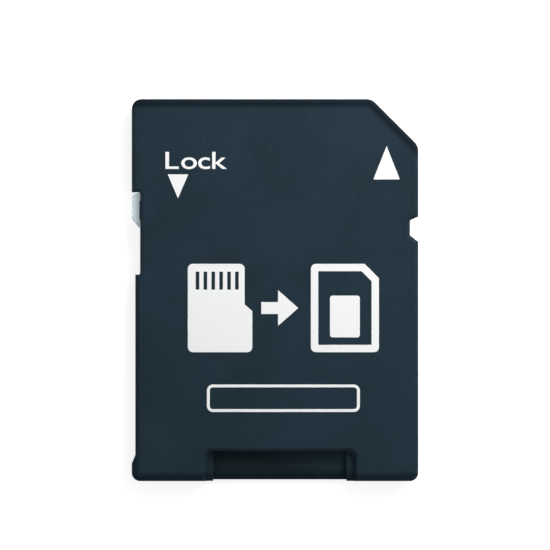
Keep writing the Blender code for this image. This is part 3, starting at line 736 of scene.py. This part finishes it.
class InkShape:
    """One print shape, cut and shaped in edit mode from a flat sheet on the front face.

    Its edits choose their points and faces by place.
    """

    def __init__(self, name: str, low: Place, high: Place) -> None:
        """Adds the sheet and opens it in edit mode.

        Args:
            name: the piece's name.
            low: its left and lower corner.
            high: its right and upper corner.
        """
        centre = ((low[0] + high[0]) / 2, (low[1] + high[1]) / 2, INK_BASE)
        size = (high[0] - low[0], high[1] - low[1], 1)
        bpy.ops.object.select_all(action="DESELECT")
        bpy.ops.mesh.primitive_plane_add(size=1, location=centre)
        self.piece = bpy.context.active_object
        self.piece.name = name
        bpy.ops.object.transform_apply(location=True, rotation=True, scale=True)
        bpy.ops.object.mode_set(mode="EDIT")
        bpy.context.tool_settings.mesh_select_mode = (True, False, False)
        bpy.ops.mesh.select_all(action="SELECT")
        bpy.ops.transform.resize(value=size, center_override=centre)

    def pick_points(self, wanted: Choice) -> None:
        """Selects points only.

        Args:
            wanted: says of a place whether its point is taken.
        """
        bpy.ops.mesh.select_all(action="DESELECT")
        shape = bmesh.from_edit_mesh(self.piece.data)
        for point in shape.verts:
            point.select_set(wanted(point.co))
        shape.select_flush(True)
        bmesh.update_edit_mesh(self.piece.data)

    def pick_places(self, places: Sequence[Place]) -> None:
        """Selects the points at some places only."""
        spots = [Vector(place) for place in places]
        self.pick_points(lambda at: any((at.xy - spot).length < NEAR for spot in spots))

    def cut(self, axis: Axis, places: Sequence[float]) -> None:
        """Cuts the sheet straight through.

        Args:
            axis: the direction in which the cuts follow one another.
            places: where they lie on that axis.
        """
        for place in places:
            spot = Vector((0, 0, 0))
            spot[axis.value] = place
            facing = Vector((0, 0, 0))
            facing[axis.value] = 1
            bpy.ops.mesh.select_all(action="SELECT")
            bpy.ops.mesh.bisect(plane_co=spot, plane_no=facing, threshold=MERGE)

    def drop(self, low: Place, high: Place) -> None:
        """Takes the faces out of one rectangle.

        Args:
            low: its left and lower corner.
            high: its right and upper corner.
        """
        bpy.ops.mesh.select_all(action="DESELECT")
        shape = bmesh.from_edit_mesh(self.piece.data)
        for face in shape.faces:
            at = face.calc_center_median()
            face.select_set(low[0] < at.x < high[0] and low[1] < at.y < high[1])
        bmesh.update_edit_mesh(self.piece.data)
        bpy.ops.mesh.delete(type="FACE")

    def shift(self, wanted: Choice, step: Place) -> None:
        """Moves the points at the wanted places by one step."""
        self.pick_points(wanted)
        bpy.ops.transform.translate(value=(*step, 0))

    def join(self, wanted: Choice) -> None:
        """Draws the points at the wanted places together into one."""
        self.pick_points(wanted)
        bpy.ops.mesh.merge(type="CENTER")

    def merge_flat(self) -> None:
        """Dissolves the cuts that border nothing."""
        bpy.ops.mesh.select_all(action="SELECT")
        bpy.ops.mesh.dissolve_limited(angle_limit=FLAT_ANGLE)

    def round_points(self, places: Sequence[Place], radius: float, steps: int) -> None:
        """Rounds corners of the outline, or chamfers them where there is only one step."""
        self.pick_places(places)
        bpy.ops.mesh.bevel(offset=radius, segments=steps, affect="VERTICES")

    def join_faces(self, start: Place, end: Place) -> None:
        """Dissolves the edge between two faces, from its one end to its other end."""
        self.pick_places([start, end])
        bpy.ops.mesh.dissolve_edges(use_verts=False)

    def hollow(self, line: float) -> None:
        """Leaves only a line along the outline.

        Args:
            line: the line's width.
        """
        bpy.ops.mesh.select_all(action="SELECT")
        bpy.ops.mesh.inset(thickness=line)
        bpy.ops.mesh.delete(type="FACE")

    def print_in(self, ink: bpy.types.Material) -> bpy.types.Object:
        """Gives the sheet its thickness and soft edges and seats it on the housing.

        Args:
            ink: the ink.

        Returns:
            The finished piece.
        """
        bpy.ops.mesh.select_all(action="SELECT")
        bpy.ops.mesh.remove_doubles(threshold=MERGE)
        rise = (0, 0, INK_THICKNESS)
        bpy.ops.mesh.extrude_region_move(TRANSFORM_OT_translate={"value": rise})
        bpy.ops.mesh.select_all(action="SELECT")
        bpy.ops.mesh.normals_make_consistent(inside=False)
        bpy.ops.object.mode_set(mode="OBJECT")
        return seat_print(self.piece, ink)


def seat_print(piece: bpy.types.Object, ink: bpy.types.Material) -> bpy.types.Object:
    """Softens a print's edges, inks it and lets it ride on the housing.

    Args:
        piece: the print, at its place.
        ink: the ink.

    Returns:
        The same piece.
    """
    bpy.context.view_layer.objects.active = piece
    bevel = piece.modifiers.new("soft_edge", "BEVEL")
    bevel.width = INK_EDGE
    bevel.segments = 1
    bevel.limit_method = "ANGLE"
    bevel.angle_limit = INK_EDGE_ANGLE
    bpy.ops.object.modifier_apply(modifier=bevel.name)
    piece.data.materials.clear()
    piece.data.materials.append(ink)
    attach(piece, Body.HOUSING.value)
    return piece


def box_corners(low: Place, high: Place) -> list[Place]:
    """Gives the corners of a rectangle between its lowest and its highest one."""
    return [low, high, (low[0], high[1]), (high[0], low[1])]


@dataclass(frozen=True)
class SolidTriangle:
    """One solid triangle; its rise is negative where it points down."""

    name: str
    centre: float
    base: float
    width: float
    rise: float
    rounding: Rounding = (0.00006, 2)

    def build(self, ink: bpy.types.Material) -> bpy.types.Object:
        """Draws the triangle.

        Args:
            ink: the ink.

        Returns:
            The piece.
        """
        tip = self.base + self.rise
        left, right = self.centre - self.width / 2, self.centre + self.width / 2
        shape = InkShape(self.name, (left, min(self.base, tip)), (right, max(self.base, tip)))
        shape.join(lambda at: abs(at.y - tip) < NEAR)
        corners = [(self.centre, tip), (left, self.base), (right, self.base)]
        shape.round_points(corners, *self.rounding)
        return shape.print_in(ink)


@dataclass
class LockLegend:
    """The switch's word and the two solid triangles on the front face."""

    ink: bpy.types.Material
    word: str = "Lock"
    word_left: float = -0.00917
    word_base: float = 0.01012
    word_width: float = 0.00514
    word_height: float = 0.00145
    stroke_gain: float = 0.008
    letter_gaps: tuple[float, ...] = (4.0, -1.5, -1.2)  # in fortieths of each letter's own width
    letter_steps: int = 6
    letter_half_depth: float = 0.5
    letter_merge: float = 0.0005
    triangles: tuple[SolidTriangle, ...] = (
        SolidTriangle("print_lock_triangle", -0.00812, 0.00969, 0.00172, -0.00202),
        SolidTriangle("print_insert_triangle", 0.00934, 0.00926, 0.00222, 0.00280),
    )

    def switch_word(self) -> bpy.types.Object:
        """Sets the switch's word in the plain built-in letters.

        Returns:
            The word as a mesh.
        """
        bpy.ops.object.select_all(action="DESELECT")
        bpy.ops.object.text_add(location=(0, 0, 0))
        piece = bpy.context.active_object
        piece.name = "print_lock_word"
        letters = piece.data
        letters.body = self.word
        letters.extrude = self.letter_half_depth
        letters.offset = self.stroke_gain
        letters.resolution_u = self.letter_steps
        for letter, gap in zip(letters.body_format, self.letter_gaps):
            letter.kerning = gap
        bpy.ops.object.convert(target="MESH")
        bpy.ops.object.mode_set(mode="EDIT")
        bpy.ops.mesh.select_all(action="SELECT")
        bpy.ops.mesh.remove_doubles(threshold=self.letter_merge)
        bpy.ops.mesh.dissolve_limited(angle_limit=FLAT_ANGLE)
        bpy.ops.mesh.normals_make_consistent(inside=False)
        bpy.ops.object.mode_set(mode="OBJECT")
        points = [point.co for point in piece.data.vertices]
        left, right = min(at.x for at in points), max(at.x for at in points)
        bottom, top = min(at.y for at in points), max(at.y for at in points)
        across = self.word_width / (right - left)
        upward = self.word_height / (top - bottom)
        piece.scale = (across, upward, INK_THICKNESS / (2 * self.letter_half_depth))
        piece.location = (
            self.word_left - left * across,
            self.word_base - bottom * upward,
            INK_BASE + INK_THICKNESS / 2,
        )
        bpy.ops.object.transform_apply(location=True, rotation=True, scale=True)
        return seat_print(piece, self.ink)

    def build(self) -> list[bpy.types.Object]:
        """Makes both triangles and the word, and gives them back."""
        return [triangle.build(self.ink) for triangle in self.triangles] + [self.switch_word()]


@dataclass
class CardPictogram:
    """Plain signs for use: a small card, an arrow, the card that takes it, and a write-on field."""

    ink: bpy.types.Material
    left: float = -0.00730
    bottom: float = -0.00520
    height: float = 0.00740
    card_width: float = 0.00540
    card_step: float = 0.00064
    step_low: float = 0.00345
    step_high: float = 0.00400
    card_rounding: Rounding = (0.00042, 4)
    slit_count: int = 6
    slit_width: float = 0.00030
    slit_pitch: float = 0.00066
    slit_inset: float = 0.00066
    slit_length: float = 0.00150
    arrow_left: float = -0.00115
    arrow_shaft: float = 0.00140
    arrow_head: float = 0.00170
    shaft_height: float = 0.00100
    head_height: float = 0.00300
    outline_left: float = 0.00300
    outline_width: float = 0.00570
    outline_line: float = 0.00062
    outline_chamfer: float = 0.00120
    insert_width: float = 0.00250
    insert_height: float = 0.00350
    insert_rounding: Rounding = (0.00021, 3)
    field_low: Place = (-0.00570, -0.01020)
    field_high: Place = (0.00710, -0.00790)
    field_rounding: Rounding = (0.00050, 6)
    field_line: float = 0.00024

    def small_card(self) -> bpy.types.Object:
        """Draws the small card with its side step and its contacts as slits.

        Returns:
            The piece.
        """
        right = self.left + self.card_width
        top = self.bottom + self.height
        low_step = self.bottom + self.step_low
        high_step = self.bottom + self.step_high
        shape = InkShape("print_small_card", (self.left, self.bottom), (right, top))
        slit_top = top - self.slit_inset
        slit_bottom = slit_top - self.slit_length
        starts = [self.left + self.slit_inset + i * self.slit_pitch for i in range(self.slit_count)]
        slits = [(start, start + self.slit_width) for start in starts]
        shape.cut(Axis.ALONG, [low_step, high_step, slit_bottom, slit_top])
        shape.cut(Axis.ACROSS, [edge for slit in slits for edge in slit])
        for start, end in slits:
            shape.drop((start, slit_bottom), (end, slit_top))
        shape.shift(
            lambda at: at.x > right - NEAR and at.y > high_step - NEAR, (-self.card_step, 0)
        )
        shape.merge_flat()
        corners = [
            (self.left, self.bottom),
            (right, self.bottom),
            (self.left, top),
            (right - self.card_step, top),
        ]
        shape.round_points(corners, *self.card_rounding)
        return shape.print_in(self.ink)

    def arrow(self) -> bpy.types.Object:
        """Draws the arrow from the small card to the outline.

        Returns:
            The piece.
        """
        middle = self.bottom + self.height / 2
        neck = self.arrow_left + self.arrow_shaft
        tip = neck + self.arrow_head
        low, high = middle - self.head_height / 2, middle + self.head_height / 2
        shaft_low, shaft_high = middle - self.shaft_height / 2, middle + self.shaft_height / 2
        shape = InkShape("print_arrow", (self.arrow_left, low), (tip, high))
        shape.cut(Axis.ACROSS, [neck])
        shape.cut(Axis.ALONG, [shaft_low, shaft_high])
        shape.drop((self.arrow_left, low), (neck, shaft_low))
        shape.drop((self.arrow_left, shaft_high), (neck, high))
        shape.join(lambda at: at.x > tip - NEAR)
        shape.merge_flat()
        return shape.print_in(self.ink)

    def card_outline(self) -> bpy.types.Object:
        """Draws the outline of the full-size card with its chamfered corner.

        Returns:
            The piece.
        """
        left, right = self.outline_left, self.outline_left + self.outline_width
        bottom, top = self.bottom, self.bottom + self.height
        line = self.outline_line
        shape = InkShape("print_card_outline", (left, bottom), (right, top))
        shape.round_points([(right, top)], self.outline_chamfer, 1)
        shape.hollow(line)
        shape.join_faces((left, bottom), (left + line, bottom + line))
        shape.join_faces((right, bottom), (right - line, bottom + line))
        shape.join_faces((left, top), (left + line, top - line))
        corners = [(left, bottom), (right, bottom), (left, top)]
        shape.round_points(corners, *self.card_rounding)
        return shape.print_in(self.ink)

    def seated_card(self) -> bpy.types.Object:
        """Draws the small card seated inside the outline.

        Returns:
            The piece.
        """
        middle = self.outline_left + self.outline_width / 2
        low = (middle - self.insert_width / 2, self.bottom + 2 * self.outline_line)
        high = (middle + self.insert_width / 2, low[1] + self.insert_height)
        shape = InkShape("print_seated_card", low, high)
        shape.round_points(box_corners(low, high), *self.insert_rounding)
        return shape.print_in(self.ink)

    def write_on_field(self) -> bpy.types.Object:
        """Draws the plain field for the owner's own note.

        Returns:
            The piece.
        """
        shape = InkShape("print_write_on_field", self.field_low, self.field_high)
        shape.round_points(box_corners(self.field_low, self.field_high), *self.field_rounding)
        shape.hollow(self.field_line)
        return shape.print_in(self.ink)

    def build(self) -> list[bpy.types.Object]:
        """Makes all the signs and gives them back."""
        use = [self.small_card(), self.arrow(), self.card_outline(), self.seated_card()]
        return use + [self.write_on_field()]


def dress(names: Sequence[str], material: bpy.types.Material) -> list[bpy.types.Object]:
    """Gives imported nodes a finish.

    Args:
        names: the nodes' names.
        material: their finish.

    Returns:
        The nodes.
    """
    nodes = [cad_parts[name] for name in names]
    for node in nodes:
        for slot in node.material_slots:
            slot.material = material
    return nodes


@dataclass
class Housing:
    """The two moulded covers and the bar between them, with the print on the front."""

    body: Body = Body.HOUSING
    covers: tuple[str, ...] = ("front_cover", "back_cover")
    carrier: tuple[str, ...] = ("contact_carrier",)

    def build(self, effects: SharedEffects) -> list[bpy.types.Object]:
        """Dresses the mouldings and prints the front.

        Args:
            effects: the shared effects.

        Returns:
            The pieces.
        """
        ink = PadInk().build(effects)
        pieces = dress(self.covers, CoverPlastic().build(effects))
        pieces += dress(self.carrier, CarrierMoulding().build(effects))
        return pieces + LockLegend(ink).build() + CardPictogram(ink).build()


@dataclass
class LockSwitch:
    """The light slider in the side notch."""

    body: Body = Body.SLIDER
    slider: tuple[str, ...] = ("lock_slider",)

    def build(self, effects: SharedEffects) -> list[bpy.types.Object]:
        """Dresses the slider and gives it back."""
        return dress(self.slider, SliderMoulding().build(effects))


@dataclass
class ContactSet:
    """The eight stamped leads and the leaf that holds the small card."""

    body: Body = Body.HOUSING
    lead_mark: str = "lead_"
    leaf: tuple[str, ...] = ("retention_spring",)

    def build(self, effects: SharedEffects) -> list[bpy.types.Object]:
        """Dresses the leads and the leaf.

        Args:
            effects: the shared effects.

        Returns:
            The pieces.
        """
        leads = sorted(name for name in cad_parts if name.startswith(self.lead_mark))
        pieces = dress(leads, GoldPlate().build(effects))
        return pieces + dress(self.leaf, RolledSteel().build(effects))


@dataclass(frozen=True)
class Lamp:
    """One soft white rectangular lamp."""

    name: str
    place: tuple[float, float, float]
    size: Place
    power: float

    def light(self) -> None:
        """Adds the lamp, turned towards the object and hidden from the camera."""
        bpy.ops.object.light_add(type="AREA", location=self.place)
        lamp = bpy.context.active_object
        lamp.name = self.name
        lamp.rotation_euler = (-Vector(self.place)).to_track_quat("-Z", "Y").to_euler()
        lamp.data.shape = "RECTANGLE"
        lamp.data.size, lamp.data.size_y = self.size
        lamp.data.energy = self.power
        lamp.visible_camera = False


@dataclass
class Studio:
    """Plain white table, even surroundings and soft lamps above and below."""

    table_size: float = 4.0
    table_gap: float = 0.00002
    table_tone: Colour = (0.72, 0.72, 0.72)
    paper_scale: float = 400.0
    paper_detail: float = 2.0
    paper_share: float = 0.04
    seen_glow: float = 0.75
    mirrored_glow: float = 0.28
    surround_light: float = 0.36
    ceiling_tone: Colour = (0.30, 0.31, 0.33)
    ceiling_rise: Span = (0.05, 0.60)  # of a direction's height, from 0 to 1
    lamps: tuple[Lamp, ...] = (
        Lamp("leading_lamp", (0.070, 0.075, 0.085), (0.07, 0.06), 0.135),
        Lamp("edge_lamp", (0.012, 0.052, 0.05), (0.03, 0.03), 0.011),
        Lamp("left_lamp", (-0.42, -0.06, 0.42), (0.25, 0.40), 0.12),
        Lamp("right_lamp", (0.42, -0.06, 0.42), (0.25, 0.40), 0.20),
        Lamp("lower_lamp", (-0.26, 0.16, -0.34), (0.30, 0.30), 1.5),
        Lamp("lower_fill", (0.30, -0.20, -0.30), (0.40, 0.40), 0.4),
    )

    @staticmethod
    def seen(board: NodeBoard, path: Sockets) -> bpy.types.NodeSocket:
        """Tells where the camera sees something, straight or through clear pieces."""
        return board.reckon("MAXIMUM", path["Is Camera Ray"], path["Is Transmission Ray"])

    def table(self) -> None:
        """Adds the white table, which shows from above only and lets light through."""
        place = (0, 0, CAD_LOW.z - self.table_gap)
        bpy.ops.object.select_all(action="DESELECT")
        bpy.ops.mesh.primitive_plane_add(size=self.table_size, location=place)
        table = bpy.context.active_object
        table.name = "table"
        material, board, coordinates = start_material("table_white")
        paper = board.add(
            "ShaderNodeTexNoise",
            {"Vector": coordinates, "Scale": self.paper_scale, "Detail": self.paper_detail},
        )
        mottled = board.reckon("MULTIPLY", paper.outputs["Fac"], self.paper_share)
        tone = board.tint(mottled, self.table_tone, WHITE)
        matte = board.add("ShaderNodeBsdfDiffuse", {"Color": tone})
        path = board.add("ShaderNodeLightPath").outputs
        direct = board.reckon("MULTIPLY", self.seen(board, path), self.seen_glow)
        mirrored = board.reckon("MULTIPLY", path["Is Glossy Ray"], self.mirrored_glow)
        strength = board.reckon("ADD", direct, mirrored)
        glow = board.add("ShaderNodeEmission", {"Strength": strength})
        lit = board.add("ShaderNodeAddShader", {0: matte.outputs[0], 1: glow.outputs[0]})
        below = board.add("ShaderNodeNewGeometry").outputs["Backfacing"]
        clear = board.add("ShaderNodeBsdfTransparent")
        passed = board.reckon("MAXIMUM", below, path["Is Shadow Ray"])
        surface = board.add(
            "ShaderNodeMixShader", {0: passed, 1: lit.outputs[0], 2: clear.outputs[0]}
        )
        board.add("ShaderNodeOutputMaterial", {"Surface": surface.outputs[0]})
        table.data.materials.append(material)

    def surroundings(self) -> None:
        """Sets the world: even light, white where it is seen, and a darker ceiling in gloss."""
        world = bpy.data.worlds.new("studio")
        bpy.context.scene.world = world
        world.use_nodes = True
        world.node_tree.nodes.clear()
        board = NodeBoard(world.node_tree)
        height = board.parts(board.add("ShaderNodeTexCoord").outputs["Generated"])["Z"]
        ceiling = board.spread(height, *self.ceiling_rise)
        mirrored = board.tint(ceiling, WHITE, self.ceiling_tone)
        path = board.add("ShaderNodeLightPath").outputs
        shown = board.reckon("MAXIMUM", self.seen(board, path), path["Is Glossy Ray"])
        tone = board.tint(path["Is Glossy Ray"], WHITE, mirrored)
        even = board.add("ShaderNodeBackground", {"Strength": self.surround_light})
        backdrop = board.add("ShaderNodeBackground", {"Color": tone, "Strength": 1.0})
        surface = board.add(
            "ShaderNodeMixShader", {0: shown, 1: even.outputs[0], 2: backdrop.outputs[0]}
        )
        board.add("ShaderNodeOutputWorld", {"Surface": surface.outputs[0]})

    def build(self) -> None:
        """Sets the table, the surroundings and the lamps, and a plain view."""
        self.table()
        self.surroundings()
        for lamp in self.lamps:
            lamp.light()
        bpy.context.scene.view_settings.view_transform = "Standard"


@dataclass
class StraightDownCamera:
    """Camera over the front face, as in the photograph."""

    frame_width: float = 0.04603
    distance: float = 0.42
    centre: Place = (0.0, 0.001264)
    sensor: float = 36.0  # in millimetres
    clipping: Span = (0.01, 10.0)

    def build(self) -> None:
        """Adds the camera and makes it the scene's."""
        place = (*self.centre, FRONT_FACE + self.distance)
        bpy.ops.object.camera_add(location=place, rotation=(0, 0, 0))
        camera = bpy.context.active_object
        camera.name = "photo_camera"
        camera.data.sensor_width = self.sensor
        camera.data.lens = self.sensor * self.distance / self.frame_width
        camera.data.clip_start, camera.data.clip_end = self.clipping
        bpy.context.scene.camera = camera


def main() -> None:
    """Builds and reports every sub-assembly, then sets up the studio and the camera."""
    logging.basicConfig(level=logging.INFO, format="%(message)s")
    effects = SharedEffects()
    for assembly in (Housing(), LockSwitch(), ContactSet()):
        where = f"{type(assembly).__name__} on {assembly.body.value}"
        for piece in assembly.build(effects):
            LOG.info("%s: %s, %d faces", where, piece.name, len(piece.data.polygons))
    Studio().build()
    StraightDownCamera().build()


if __name__ == "__main__":
    main()
